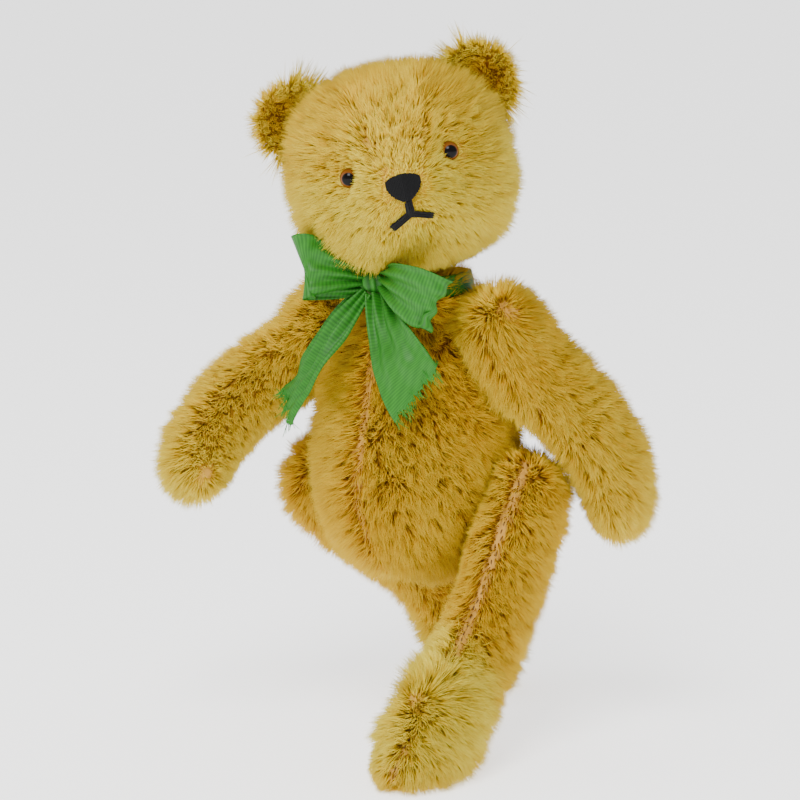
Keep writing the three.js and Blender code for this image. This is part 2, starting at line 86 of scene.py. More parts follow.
def stuffed_cover(name, stands_for, body, voxel=0.0015):
    """A packed plush cover: the outer skin on an even weave of small faces, eased where the stuffing rounds it."""
    bm = outer_skin(stands_for[0])
    rough = bpy.data.meshes.new(name + "_cut")
    bm.to_mesh(rough)
    bm.free()
    blank = bpy.data.objects.new(name + "_cut", rough)
    bpy.context.scene.collection.objects.link(blank)
    weave = blank.modifiers.new("weave", "REMESH")
    weave.mode = "VOXEL"
    weave.voxel_size = voxel
    ease = blank.modifiers.new("ease", "SMOOTH")
    ease.factor = 0.5
    ease.iterations = 5
    ready = blank.evaluated_get(bpy.context.evaluated_depsgraph_get())
    mesh = bpy.data.meshes.new_from_object(ready)
    mesh.name = name
    bpy.data.objects.remove(blank)
    mesh.shade_smooth()
    cover = as_object(name, mesh, body)
    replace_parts(cover, *stands_for)
    return cover


def points_of(mesh):
    """A mesh's points and their normals, as two arrays."""
    at = np.zeros(len(mesh.vertices) * 3)
    mesh.vertices.foreach_get("co", at)
    normal = np.zeros(len(mesh.vertices) * 3)
    mesh.vertices.foreach_get("normal", normal)
    return at.reshape(-1, 3), normal.reshape(-1, 3)


def named_values(mesh, name, values):
    """One number for each point of a mesh, under a name that its material reads."""
    layer = mesh.attributes.new(name, "FLOAT", "POINT")
    layer.data.foreach_set("value", np.asarray(values, np.float32))


def backing_material():
    """Woven cotton backing, stained by the pile's roots, tan where a seam opens it."""
    made = bpy.data.materials.new("plush backing")
    made.use_nodes = True
    tree = made.node_tree
    shader = tree.nodes["Principled BSDF"]
    shader.inputs["Roughness"].default_value = 0.9
    seam = tree.nodes.new("ShaderNodeAttribute")
    seam.attribute_name = "seam"
    tone = tree.nodes.new("ShaderNodeAttribute")
    tone.attribute_name = "tone"
    pile = tree.nodes.new("ShaderNodeMixRGB")
    pile.inputs[1].default_value = (0.24, 0.085, 0.001, 1)
    pile.inputs[2].default_value = (0.46, 0.27, 0.004, 1)
    tree.links.new(tone.outputs["Fac"], pile.inputs[0])
    both = tree.nodes.new("ShaderNodeMixRGB")
    both.inputs[2].default_value = (0.52, 0.275, 0.040, 1)
    tree.links.new(seam.outputs["Fac"], both.inputs[0])
    tree.links.new(pile.outputs[0], both.inputs[1])
    tree.links.new(both.outputs[0], shader.inputs["Base Color"])
    return made


backing = backing_material()
torso_cover = stuffed_cover("torso_cover", ["torso_shell", "torso_stuffing"], "torso")


# --- Mohair pile -----------------------------------------------------------------------------------------------
# Every plush piece is woven with tufts of mohair 3 to 7 mm long, in small locks that lean with the nap, part at the
# seams and are darker at the root than at the tip; the pale tips are partly faded fibre and partly painted light, the
# glow of light through the fibre ends. The other covers are cut here, as they limit the torso's pile.
def lock_shape():
    """One tapering lock of fibres, one unit long: a three-sided spike."""
    bm = bmesh.new()
    bmesh.ops.create_cone(bm, cap_ends=True, segments=3, radius1=1.0, radius2=0.0, depth=1.0)
    bmesh.ops.remove_doubles(bm, verts=bm.verts, dist=1e-5)
    bmesh.ops.translate(bm, verts=bm.verts, vec=(0, 0, 0.5))
    bm.verts.index_update()
    corners = np.array([v.co[:] for v in bm.verts])
    faces = [[v.index for v in f.verts] for f in bm.faces]
    bm.free()
    return corners, faces


LOCK_CORNERS, LOCK_FACES = lock_shape()


def unit(v):
    return v / np.maximum(np.linalg.norm(v, axis=-1, keepdims=True), 1e-12)


def waves(at, size, seed):
    """A smooth random vector at each point, about one wave per size metres."""
    draw = np.random.default_rng(seed)
    total = np.zeros((len(at), 3))
    for _ in range(5):
        way = unit(draw.normal(size=3)) * 2 * math.pi / size * draw.uniform(0.6, 1.5)
        turn = draw.uniform(0, 2 * math.pi)
        total += np.sin(at @ way + turn)[:, None] * unit(draw.normal(size=3))
    return total / 1.6


def plant_pile(cover, name, body, panel, density, nap, length, tone, seed, pile_material, clump=1.0):
    """Locks planted over a cover where panel is true; nap, length and tone are given at the cover's points."""
    most_locks, lock_width, cell, bury = 49000, 0.00015, 0.0021, 0.0004
    mesh = cover.data
    mesh.calc_loop_triangles()
    tris = np.zeros(len(mesh.loop_triangles) * 3, int)
    mesh.loop_triangles.foreach_get("vertices", tris)
    tris = tris.reshape(-1, 3)
    at, normal = points_of(mesh)
    tris = tris[panel[tris].sum(1) >= 2]
    a, b, c = (at[tris[:, k]] for k in range(3))
    area = np.linalg.norm(np.cross(b - a, c - a), axis=1) / 2 * density[tris].mean(1)
    draw = np.random.default_rng(seed)
    count = min(int(area.sum()), most_locks)
    face = np.searchsorted(np.cumsum(area) / area.sum(), np.sort(draw.uniform(size=count)))
    face = np.minimum(face, len(tris) - 1)
    mix = draw.dirichlet((1, 1, 1), size=count)[:, :, None]
    blend_at = lambda values: (values[tris[face]] * mix).sum(1)
    root = blend_at(at)
    out = unit(blend_at(normal))
    lay = blend_at(nap)
    long = blend_at(length[:, None])[:, 0] * draw.uniform(0.72, 1.15, count)
    shade = blend_at(tone[:, None])[:, 0] + draw.normal(0, 0.16, count)
    # locks that share a cell of the cloth lean together
    jitter = waves(root, 0.006, seed + 1) * 0.0009
    key = np.floor((root + jitter) / cell).astype(np.int64)
    key = (key[:, 0] * 73856093) ^ (key[:, 1] * 19349663) ^ (key[:, 2] * 83492791)
    _, own = np.unique(key, return_inverse=True)
    lock_lean = draw.normal(0, 0.26 * clump, (own.max() + 1, 3))[own]
    middle = np.zeros((own.max() + 1, 3))
    np.add.at(middle, own, root)
    middle = (middle / np.bincount(own)[:, None])[own]
    gather = (middle - root) * 0.5 * clump
    loose = draw.normal(0, 0.17, (count, 3))
    sway = waves(root, 0.011, seed + 2) * 0.22 + waves(root, 0.004, seed + 3) * 0.12
    first = unit(out + lay * 0.55 + sway * 0.6 + lock_lean * 0.6 + loose * 0.6)
    second = unit(out * 0.55 + lay + sway + lock_lean + loose + np.array([0, 0, -0.12]))
    mid = root + first * long[:, None] * 0.5 + gather * 0.4
    tip = mid + second * long[:, None] * 0.5 + gather * 0.6
    root = root - out * bury
    tip[:, 2] = np.maximum(tip[:, 2], 0.0002)
    root[:, 2] = np.maximum(root[:, 2], 0.0003)
    side = unit(np.cross(first, draw.normal(size=(count, 3))))
    up = np.cross(first, side)
    wide = lock_width * draw.uniform(0.7, 1.3, count)
    corners, rows = LOCK_CORNERS, len(LOCK_CORNERS)
    place = np.zeros((count, rows, 3))
    along = np.zeros((count, rows))
    for k, (x, y, z) in enumerate(corners):
        line = root if z < 0.5 else tip
        place[:, k] = line + (side * x + up * y) * wide[:, None]
        along[:, k] = z
    sizes = np.array([len(f) for f in LOCK_FACES])
    flat = np.concatenate([np.array(f) for f in LOCK_FACES])
    loops = (flat[None, :] + (np.arange(count) * rows)[:, None]).ravel()
    starts = np.concatenate([[0], np.cumsum(np.tile(sizes, count))[:-1]])
    pile = bpy.data.meshes.new(name)
    pile.vertices.add(count * rows)
    pile.vertices.foreach_set("co", place.reshape(-1).astype(np.float32))
    pile.loops.add(len(loops))
    pile.loops.foreach_set("vertex_index", loops.astype(np.int32))
    pile.polygons.add(len(starts))
    pile.polygons.foreach_set("loop_start", starts.astype(np.int32))
    pile.update(calc_edges=True)
    named_values(pile, "along", along.ravel())
    named_values(pile, "tone", np.repeat(np.clip(shade, 0, 1), rows))
    # one small cell of the pattern sheet for each lock, its length up the cell
    grid = math.ceil(math.sqrt(count))
    step = 1.0 / grid
    number = np.arange(count)
    cu, cv = (number % grid) * step, (number // grid) * step
    around = np.arctan2(corners[:, 1], corners[:, 0]) / (2 * math.pi) + 0.5
    u = cu[:, None] + step * (0.2 + 0.6 * around[None, :])
    v = cv[:, None] + step * (0.15 + 0.7 * corners[:, 2][None, :])
    sheet = pile.uv_layers.new(name="OFBake")
    uv = np.stack([u.ravel()[loops], v.ravel()[loops]], 1)
    sheet.data.foreach_set("uv", uv.ravel().astype(np.float32))
    pile.shade_smooth()
    piece = as_object(name, pile, body)
    pile.materials.append(pile_material)
    return piece


def mohair_material(name, painted_shade_dim=1.0):
    """Mohair: dark amber at the root, pale straw at the tip, partly faded and partly a painted glow of light through
    the tips; tone runs from amber to yellow.
    """
    made = bpy.data.materials.new(name)
    made.use_nodes = True
    tree = made.node_tree
    shader = tree.nodes["Principled BSDF"]
    shader.inputs["Roughness"].default_value = 0.6
    shader.inputs["Specular IOR Level"].default_value = 0.12
    along = tree.nodes.new("ShaderNodeAttribute")
    along.attribute_name = "along"
    tone = tree.nodes.new("ShaderNodeAttribute")
    tone.attribute_name = "tone"
    amber = tree.nodes.new("ShaderNodeValToRGB")
    yellow = tree.nodes.new("ShaderNodeValToRGB")
    # each ramp pales from root to tip; the pale tip is partly a painted glow of light through the fibre ends
    for ramp, (root, middle, tip) in (
        (amber, [(0.25, 0.088, 0.000), (0.52, 0.235, 0.000), (0.84, 0.53, 0.008)]),
        (yellow, [(0.40, 0.235, 0.001), (0.68, 0.48, 0.008), (0.97, 0.85, 0.110)]),
    ):
        band = ramp.color_ramp
        # every colour is scaled down by the dimming factor; only the ear linings use it, as painted shade for the
        # hollow
        band.elements[0].color = (*(painted_shade_dim * c for c in root), 1)
        band.elements[1].color = (*(painted_shade_dim * c for c in tip), 1)
        band.elements.new(0.45).color = (*(painted_shade_dim * c for c in middle), 1)
        tree.links.new(along.outputs["Fac"], ramp.inputs[0])
    mix = tree.nodes.new("ShaderNodeMixRGB")
    tree.links.new(tone.outputs["Fac"], mix.inputs[0])
    tree.links.new(amber.outputs[0], mix.inputs[1])
    tree.links.new(yellow.outputs[0], mix.inputs[2])
    tree.links.new(mix.outputs[0], shader.inputs["Base Color"])
    return made


mohair = mohair_material("mohair pile")
LOCKS_PER_M2 = 9.5e6


def dress(cover, body, panels, nap, length, tone, seam, seed, pile_material=mohair, density=1.0, clump=0.7):
    """Colours a cover's backing and plants its pile, one piece for each sewn panel."""
    mesh = cover.data
    mesh.materials.clear()
    mesh.materials.append(backing)
    named_values(mesh, "seam", seam)
    named_values(mesh, "tone", tone)
    thin = LOCKS_PER_M2 * density * (1 - 0.9 * seam)
    for k, (panel_name, panel) in enumerate(panels.items()):
        plant_pile(cover, panel_name, body, panel, thin, nap, length, tone,
                   seed + 10 * k, pile_material, clump)


def room_above(cover, others, most=0.009):
    """How far the pile can stand at each point before it meets a neighbouring piece."""
    at, normal = points_of(cover.data)
    free = np.full(len(at), most)
    for other in others:
        tree = BVHTree.FromObject(other, bpy.context.evaluated_depsgraph_get())
        for k in range(len(at)):
            hit = tree.ray_cast(Vector(at[k]) + Vector(normal[k]) * 1e-4, Vector(normal[k]), most)
            if hit[0] is not None:
                free[k] = min(free[k], hit[3])
    return free


def laid(normal, way):
    """The direction way at each point, laid flat on the cloth."""
    way = np.broadcast_to(np.asarray(way, float), normal.shape)
    return unit(way - normal * (way * normal).sum(1)[:, None])


def spot(at, centre, radius):
    """How near each point is to a spot on the cloth, 1 at the spot and fading out past the radius."""
    return np.exp(-((np.linalg.norm(at - np.array(centre), axis=1) / radius) ** 2))


# The cloth of the head and limbs, dressed in their own sections further on.
covers = {"torso": torso_cover}
for limb in ("arm_left", "arm_right", "leg_left", "leg_right"):
    covers[limb] = stuffed_cover(limb + "_cover", [limb + "_shell", limb + "_stuffing"], limb)
covers["head"] = stuffed_cover("head_cover", ["head_shell", "head_stuffing"], "head", voxel=0.0014)


def dress_torso():
    """The torso's pile parts at the centre front seam and hangs a little down."""
    at, normal = points_of(torso_cover.data)
    low, high = at.min(0), at.max(0)
    from_seam = at[:, 0] - (low[0] + high[0]) / 2 + 0.0018 + 0.0006 * np.sin(at[:, 2] / 0.009)
    front = at[:, 1] < (low[1] + high[1]) / 2
    seam = np.exp(-((from_seam / 0.0012) ** 2)) * front * 0.8
    part = np.sign(from_seam) * np.exp(-np.abs(from_seam) / 0.011)
    nap = laid(normal, (1.0, 0, 0)) * part[:, None] * 0.9 + laid(normal, (0, 0, -1.0)) * 0.45
    free = room_above(torso_cover, [covers[k] for k in covers if k != "torso"] + [nodes["ribbon_band"]])
    length = np.minimum(0.0058 * (1 - 0.45 * seam), np.maximum(free * 0.9, 0.0012))
    tone = np.clip(0.14 + 0.10 * waves(at, 0.03, 5)[:, 0], 0, 1)
    panels = {"torso_pile_left": from_seam >= 0, "torso_pile_right": from_seam < 0}
    dress(torso_cover, "torso", panels, nap, length, tone, seam, 100)


dress_torso()


# --- Arms ------------------------------------------------------------------------------------------------------
# Each arm is an inner and an outer plush panel sewn round the edge, turned, packed and closed at the shoulder. The
# nap runs down the arm to the paw, and the pile has worn thin in a swirl on the right paw and the left shoulder.
def limb_lines(limb):
    """For each point of a limb: how far it is out from the seam and down from the joint, and how it faces forward."""
    pivot, axis = np.array(joint[limb]["pos_m"]), np.array(joint[limb]["axis"])
    side = 1 if limb.endswith("left") else -1
    out = unit(axis * np.sign(axis[0]) * side)
    at, normal = points_of(covers[limb].data)
    down = (at - pivot).mean(0)
    down = unit(down - out * (down @ out))
    front = np.cross(down, out) * side
    deep = (at - pivot) @ down
    wide = (at - pivot) @ out
    steps = np.linspace(deep.min(), deep.max(), 25)
    nearest = np.abs(deep[:, None] - steps[None]).argmin(1)
    middle = [(wide[nearest == k].min() + wide[nearest == k].max()) / 2 for k in range(25)]
    from_seam = wide - np.interp(deep, steps, np.convolve(np.pad(middle, 2, "edge"), np.ones(5) / 5, "valid"))
    return at, normal, from_seam, deep, normal @ front, down, out


def dress_arm(limb, worn, worn_size, tip_tone, seed):
    """An arm's pile, with a bare spot at worn and the fibres turned in a swirl round it."""
    at, normal, from_seam, deep, _, down, out = limb_lines(limb)
    seam = np.exp(-((from_seam / 0.0009) ** 2)) * 0.45
    bare = spot(at, worn, worn_size)
    seam = np.maximum(seam, bare * 0.85)
    away = unit(at - np.array(worn)) * np.exp(-((np.linalg.norm(at - worn, axis=1) / 0.008) ** 2))[:, None]
    twist = np.cross(normal, away)
    part = np.sign(from_seam) * np.exp(-np.abs(from_seam) / 0.005)
    nap = laid(normal, down) * 0.7 + laid(normal, out) * part[:, None] * 0.35 + away * 0.9 + twist * 0.5
    others = [covers["torso"], covers["head"]]
    length = np.minimum(0.0056 - 0.0025 * bare, np.maximum(room_above(covers[limb], others) * 0.9, 0.001))
    length = length * np.where(normal @ out < -0.4, 0.65, 1.0)
    reach = np.clip(deep / deep.max(), 0, 1)
    tone = np.clip(0.30 + tip_tone * reach**2 + 0.10 * waves(at, 0.02, seed)[:, 0], 0, 1)
    panels = {limb + "_pile_outer": from_seam >= 0, limb + "_pile_inner": from_seam < 0}
    dress(covers[limb], limb, panels, nap, length, tone, seam, seed, density=1.15)


dress_arm("arm_right", (-0.0386, -0.0480, 0.0735), 0.0022, 0.35, 200)
dress_arm("arm_left", (0.0296, -0.0117, 0.1168), 0.0028, 0.15, 230)


# --- Legs ------------------------------------------------------------------------------------------------------
# Each leg is an inner and an outer panel like the arm, turned out at the foot. On the front leg the seam down the
# shin was sewn last, so its backing lies open with a row of needle holes. The toe is worn round and bleached bright.
def dress_leg(limb, toe, toe_tone, open_seam, seed):
    """A leg's pile, gathered round a worn toe, with the shin seam open as far as open_seam says."""
    at, normal, from_seam, deep, ahead, down, out = limb_lines(limb)
    toe = np.array(toe)
    reach = np.linalg.norm(at - toe, axis=1)
    shin = (ahead > 0.25) * np.clip((reach - 0.010) / 0.006, 0, 1)
    width = 0.0009 + open_seam * 0.0006 * shin
    seam = np.exp(-((np.abs(from_seam) / width) ** 4)) * (0.4 + open_seam * 0.6 * shin)
    bare = spot(at, toe, 0.0020)
    seam = np.maximum(seam * np.clip((reach - 0.008) / 0.012, 0, 1), bare * 0.8)
    near = np.exp(-((reach / 0.016) ** 2))[:, None]
    away = laid(normal, unit(at - toe)) * near
    part = np.sign(from_seam) * np.exp(-np.abs(from_seam) / 0.006)
    nap = laid(normal, down) * 0.6 * (1 - near) + laid(normal, out) * part[:, None] * 0.4 * (1 - near) + away
    others = [covers[k] for k in ("torso", "arm_left", "arm_right")]
    length = np.minimum(0.0054 - 0.003 * bare, np.maximum(room_above(covers[limb], others) * 0.9, 0.001))
    length = length * np.where((normal @ out < -0.3) & (reach > 0.012), 0.5, 1.0)
    ball = np.exp(-((reach / 0.0225) ** 8))
    length = length * (1 + 0.2 * ball)
    tone = np.clip(0.16 + toe_tone * ball + 0.1 * waves(at, 0.02, seed)[:, 0], 0, 1)
    panels = {limb + "_pile_outer": from_seam >= 0, limb + "_pile_inner": from_seam < 0}
    dress(covers[limb], limb, panels, nap, length, tone, seam, seed)
    return at, normal, from_seam, deep, ahead, reach


def strands(name, lines, radius, body, material):
    """Round threads along lines of points, as one piece."""
    run = bpy.data.curves.new(name, "CURVE")
    run.dimensions = "3D"
    run.bevel_depth = radius
    run.bevel_resolution = 1
    run.use_fill_caps = True
    for line in lines:
        spline = run.splines.new("POLY")
        spline.points.add(len(line) - 1)
        for point, at in zip(spline.points, line):
            point.co = (*at, 1)
    drawn = bpy.data.objects.new(name + "_run", run)
    bpy.context.scene.collection.objects.link(drawn)
    mesh = bpy.data.meshes.new_from_object(drawn.evaluated_get(bpy.context.evaluated_depsgraph_get()))
    bpy.data.objects.remove(drawn)
    mesh.name = name
    mesh.shade_smooth()
    mesh.materials.clear()
    mesh.materials.append(material)
    return as_object(name, mesh, body)


def plain_material(name, colour, roughness, metallic=0.0):
    """A material of one colour."""
    made = bpy.data.materials.new(name)
    made.use_nodes = True
    shader = made.node_tree.nodes["Principled BSDF"]
    shader.inputs["Base Color"].default_value = (*colour, 1)
    shader.inputs["Roughness"].default_value = roughness
    shader.inputs["Metallic"].default_value = metallic
    return made


def shin_stitches(at, normal, from_seam, deep, ahead, reach):
    """The row of stitches down the open seam of the front leg, one short thread between each pair of holes."""
    pitch = 0.0021
    on = (np.abs(from_seam) < 0.0012) & (ahead > 0.25) & (reach > 0.012) & (deep > -0.004)
    order = np.argsort(deep[on])
    line, lift = at[on][order], normal[on][order]
    far = deep[on][order]
    lines = []
    for start in np.arange(far.min(), far.max() - 0.0015, pitch):
        pick = (far >= start) & (far < start + pitch)
        if pick.sum() < 1:
            continue
        middle, up = line[pick].mean(0), unit(lift[pick].mean(0))
        run = unit(line[min(np.argmax(pick) + 6, len(line) - 1)] - line[max(np.argmax(pick) - 6, 0)])
        run = unit(run - up * (run @ up))
        along = (-1, -0.5, 0, 0.5, 1)
        lines.append([middle + run * s * 0.00065 + up * (0.00022 - 0.0004 * abs(s)) for s in along])
    thread = plain_material("shin thread", (0.10, 0.045, 0.012), 0.7)
    strands("leg_left_stitches", lines, 0.00016, "leg_left", thread)


def stand_on_pile(cover, height):
    """Keeps the cloth of a standing foot off the floor by the thickness of the pile pressed flat under it."""
    for vert in cover.data.vertices:
        vert.co.z = max(vert.co.z, height)


stand_on_pile(covers["leg_left"], 0.0010)
shin = dress_leg("leg_left", (0.0201, -0.0429, 0.0217), 0.72, 1.0, 300)
shin_stitches(*shin)
dress_leg("leg_right", (-0.0170, 0.0480, 0.0120), 0.3, 0.0, 330)


# --- Head ------------------------------------------------------------------------------------------------------
# The head is two side panels and a gusset from the nose over the crown to the nape. The nap radiates from the nose,
# short on the muzzle and round the eyes. The backing shows at the gusset seams over the eyes.
neck = np.array(joint["head"]["pos_m"])
head_up = unit(np.array(joint["head"]["axis"]))


def middle_of(node):
    """The middle of a CAD node's box."""
    box = np.array(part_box(node))
    return box.reshape(2, 3).mean(0)


eyes = {side: middle_of(f"eye_{side}_glass") for side in ("left", "right")}
head_left = eyes["left"] - eyes["right"]
head_left = unit(head_left - head_up * (head_left @ head_up))
head_ahead = np.cross(head_left, head_up)


def in_head(x, ahead, z):
    """A point of the head: metres to its left, forward and up from the neck joint."""
    return neck + head_left * x + head_ahead * ahead + head_up * z


def clear_of(at, node):
    """How far each point is from a CAD node."""
    tree = BVHTree.FromObject(nodes[node], bpy.context.evaluated_depsgraph_get())
    return np.array([tree.find_nearest(Vector(p))[3] for p in at])


def dress_head():
    """The head's pile, kept short of the stitching, the glass and whatever stands close to it."""
    at, normal = points_of(covers["head"].data)
    x, ahead, z = ((at - neck) @ way for way in (head_left, head_ahead, head_up))
    nose = in_head(0, 0.030, 0.0235)
    reach = np.linalg.norm(at - nose, axis=1)
    rise = np.clip((z - 0.027) / 0.022, 0, 1)
    gusset = 0.0046 + 0.0052 * rise
    seam = np.exp(-(((np.abs(x) - gusset) / 0.0009) ** 2)) * (z > 0.026)
    brow = np.exp(-(((z - 0.034) / 0.006) ** 2)) * (ahead > 0)
    seam = seam * (0.25 + 0.65 * brow) + np.exp(-((x / 0.0009) ** 2)) * 0.3 * (z < 0.014) * (ahead > 0)
    stitched = np.minimum(clear_of(at, "nose_stitching"), clear_of(at, "mouth_stitching"))
    glass = np.minimum(clear_of(at, "eye_left_glass"), clear_of(at, "eye_right_glass"))
    part = np.sign(np.abs(x) - gusset) * np.sign(x) * np.exp(-np.abs(np.abs(x) - gusset) / 0.004) * (z > 0.026)
    nap = laid(normal, unit(at - nose)) * 0.75 + laid(normal, head_left) * part[:, None] * 0.35
    nap += laid(normal, -head_up) * 0.2
    grown = np.clip((reach - 0.006) / 0.022, 0, 1)
    length = 0.0026 + 0.0032 * grown
    length = np.minimum(length, 0.0012 + 0.55 * np.clip(stitched - 0.0004, 0, 1))
    length = np.minimum(length, 0.0016 + 0.75 * np.clip(glass - 0.0006, 0, 1))
    near = [nodes["ribbon_band"], nodes["ribbon_knot"], nodes["ribbon_loop_left"], nodes["ribbon_loop_right"]]
    near += [covers[k] for k in ("torso", "arm_left", "arm_right")]
    near += [nodes[f"ear_{side}_{layer}"] for side in ("left", "right") for layer in ("lining", "back")]
    length = np.minimum(length, np.maximum(room_above(covers["head"], near) * 0.9, 0.001))
    length = np.minimum(length, 0.0022 + 0.5 * np.clip(z - 0.001, 0, 1))
    tone = 0.44 + 0.40 * np.exp(-((reach / 0.020) ** 2)) - 0.22 * rise + 0.12 * (ahead > 0) * (z < 0.03)
    tone = np.clip(tone + 0.10 * waves(at, 0.02, 41)[:, 0], 0, 1)
    inner = (np.abs(x) < gusset) & (z > 0.026) | (reach < 0.016)
    panels = {"head_pile_left": ~inner & (x >= 0), "head_pile_right": ~inner & (x < 0), "head_pile_gusset": inner}
    dress(covers["head"], "head", panels, nap, length, tone, seam, 400, density=1.2, clump=0.6)


dress_head()


# --- Ears ------------------------------------------------------------------------------------------------------
# Each ear is a cupped pair of plush discs sewn round the rim and whipped to the crown. The lining's pile is painted
# darker brown towards the middle, a painted shade in the hollow, and long fibres stand out round the rim.
def dress_ear(side, seed):
    """The back and the lining of one ear, each a cover with its own pile."""
    # The lining's pile is painted a little darker all over, a painted shade for the cupped hollow.
    ear_lining = mohair_material(f"ear {side} lining pile", 0.92)
    layers = (("back", "mohair_head", mohair, 0.0060), ("lining", "ear_lining", ear_lining, 0.0042))
    for layer, slot, pile, longest in layers:
        node = f"ear_{side}_{layer}"
        cover = stuffed_cover(f"{node}_cover", [node], "head", voxel=0.0005)
        at, normal = points_of(cover.data)
        centre = (at.min(0) + at.max(0)) / 2
        away = at - centre
        rim = np.clip(np.linalg.norm(away, axis=1) / 0.0100, 0, 1.1)
        facing = normal @ head_ahead
        shown = facing < 0.15 if layer == "back" else facing > -0.15
        nap = laid(normal, unit(away)) * 0.9
        length = longest * (0.75 + 0.7 * (rim > 0.86))
        length = np.minimum(length, np.maximum(room_above(cover, [covers["head"]]) * 0.9, 0.0008))
        if layer == "back":
            tone = np.clip(0.5 + 0.35 * (rim > 0.8) + 0.1 * waves(at, 0.01, seed)[:, 0], 0, 1)
        else:
            # The lining's pile is darker amber towards the middle, a painted shade in the hollow, and paler at the
            # rim.
            tone = np.clip((rim - 0.45) * 2.0, 0, 1)
        seam = np.zeros(len(at))
        dress(cover, "head", {f"{node}_pile": shown}, nap, length, tone, seam, seed, pile, density=1.6)
        seed += 5


dress_ear("left", 500)
dress_ear("right", 520)


# --- Eyes ------------------------------------------------------------------------------------------------------
# Brown glass balls, each with a black pupil fused into its front, set deep in the pile. A wire shank behind each one
# goes through the cloth and holds it.
def glass_eye(side):
    """One eye, turned a little outward as the head's cheeks turn it."""
    centre = eyes[side]
    look = unit(head_ahead + head_left * (0.22 if side == "left" else -0.22))
    bm = bmesh.new()
    bm.loops.layers.uv.new("OFBake")
    bmesh.ops.create_uvsphere(bm, u_segments=40, v_segments=28, radius=0.0026, calc_uvs=True)
    mesh = bpy.data.meshes.new(f"eye_{side}")
    bm.to_mesh(mesh)
    bm.free()
    at, normal = points_of(mesh)
    named_values(mesh, "look", normal @ look)
    mesh.vertices.foreach_set("co", (at + centre).ravel().astype(np.float32))
    mesh.shade_smooth()
    made = bpy.data.materials.new(f"eye {side} glass")
    made.use_nodes = True
    tree = made.node_tree
    shader = tree.nodes["Principled BSDF"]
    shader.inputs["Roughness"].default_value = 0.04
    shader.inputs["Specular IOR Level"].default_value = 0.12
    turned = tree.nodes.new("ShaderNodeAttribute")
    turned.attribute_name = "look"
    ramp = tree.nodes.new("ShaderNodeValToRGB")
    band = ramp.color_ramp
    band.elements[0].position, band.elements[0].color = 0.0, (0.06, 0.020, 0.004, 1)
    band.elements[1].position, band.elements[1].color = 0.80, (0.002, 0.0015, 0.0015, 1)
    band.elements.new(0.55).color = (0.13, 0.040, 0.005, 1)
    band.elements.new(0.75).color = (0.15, 0.048, 0.007, 1)
    tree.links.new(turned.outputs["Fac"], ramp.inputs[0])
    tree.links.new(ramp.outputs[0], shader.inputs["Base Color"])
    mesh.materials.append(made)
    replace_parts(as_object(f"eye_{side}", mesh, "head"), f"eye_{side}_glass")


glass_eye("left")
glass_eye("right")


# --- Nose and mouth --------------------------------------------------------------------------------------------
# The nose is black thread satin-stitched in upright rows over a felt pad; one stitch drops to the mouth, and two
# longer ones slant away from it.
black_thread = plain_material("black thread", (0.0015, 0.0015, 0.002), 0.7)
black_thread.node_tree.nodes["Principled BSDF"].inputs["Specular IOR Level"].default_value = 0.2
for node in ("nose_stitching", "mouth_stitching"):
    nodes[node].data.materials.clear()
    nodes[node].data.materials.append(black_thread)


def over(tree, x, z, lift):
    """The point of the face at x and z, lift above the surface that the tree holds, or None past its edge."""
    start = in_head(x, 0.060, z)
    hit = tree.ray_cast(Vector(start), Vector(-head_ahead))
    return None if hit[0] is None else np.array(hit[0]) + head_ahead * lift


def nose_and_mouth():
    """Rows of satin stitch on the nose pad, and the three long stitches of the mouth, three threads each."""
    graph = bpy.context.evaluated_depsgraph_get()
    pad = BVHTree.FromObject(nodes["nose_stitching"], graph)
    rows = []
    for x in np.arange(-0.0046, 0.0047, 0.00040):
        row = [over(pad, x, z, 0.00018) for z in np.linspace(0.0205, 0.0285, 33)]
        row = [p for p in row if p is not None]
        if len(row) > 3:
            rows.append([row[0] - head_ahead * 0.0007, *row, row[-1] - head_ahead * 0.0007])
    strands("nose_threads", rows, 0.00026, "head", black_thread)
    face = BVHTree.FromObject(covers["head"], graph)
    lines = []
    for (x0, z0), (x1, z1) in (
        ((0, 0.0225), (0.0002, 0.0178)), ((0, 0.0180), (-0.0054, 0.0146)), ((0, 0.0180), (0.0054, 0.0160))
    ):
        across = unit(np.array([z1 - z0, x0 - x1]))
        for lane in (-0.0005, 0.0, 0.0005):
            run = []
            for t in np.linspace(0, 1, 12):
                x = x0 + (x1 - x0) * t + across[0] * lane
                z = z0 + (z1 - z0) * t + across[1] * lane
                run.append(over(face, x, z, 0.0014 - 0.0012 * abs(2 * t - 1) ** 6))
            lines.append(run)
    strands("mouth_threads", lines, 0.00032, "head", black_thread)


nose_and_mouth()


# --- Ribbon ----------------------------------------------------------------------------------------------------
# One length of green ribbed taffeta, 17 mm wide, folded in three round the neck and tied in a bow at the throat. It
# is drawn small at the knot in pleats, and its two cut ends have frayed.
RIBBON_WIDE = 0.017
LANES = 25


def taffeta():
    """Green taffeta with ribs across the width, lighter where the ribs catch the light."""
    made = bpy.data.materials.new("green taffeta")
    made.use_nodes = True
    tree = made.node_tree
    shader = tree.nodes["Principled BSDF"]
    shader.inputs["Roughness"].default_value = 0.5
    shader.inputs["Specular IOR Level"].default_value = 0.25
    painted_ridge_light = tree.nodes.new("ShaderNodeAttribute")
    painted_ridge_light.attribute_name = "painted_ridge_light"
    mix = tree.nodes.new("ShaderNodeMixRGB")
    mix.inputs[1].default_value = (0.006, 0.062, 0.003, 1)
    mix.inputs[2].default_value = (0.024, 0.185, 0.010, 1)
    tree.links.new(painted_ridge_light.outputs["Fac"], mix.inputs[0])
    tree.links.new(mix.outputs[0], shader.inputs["Base Color"])
    return made


green = taffeta()


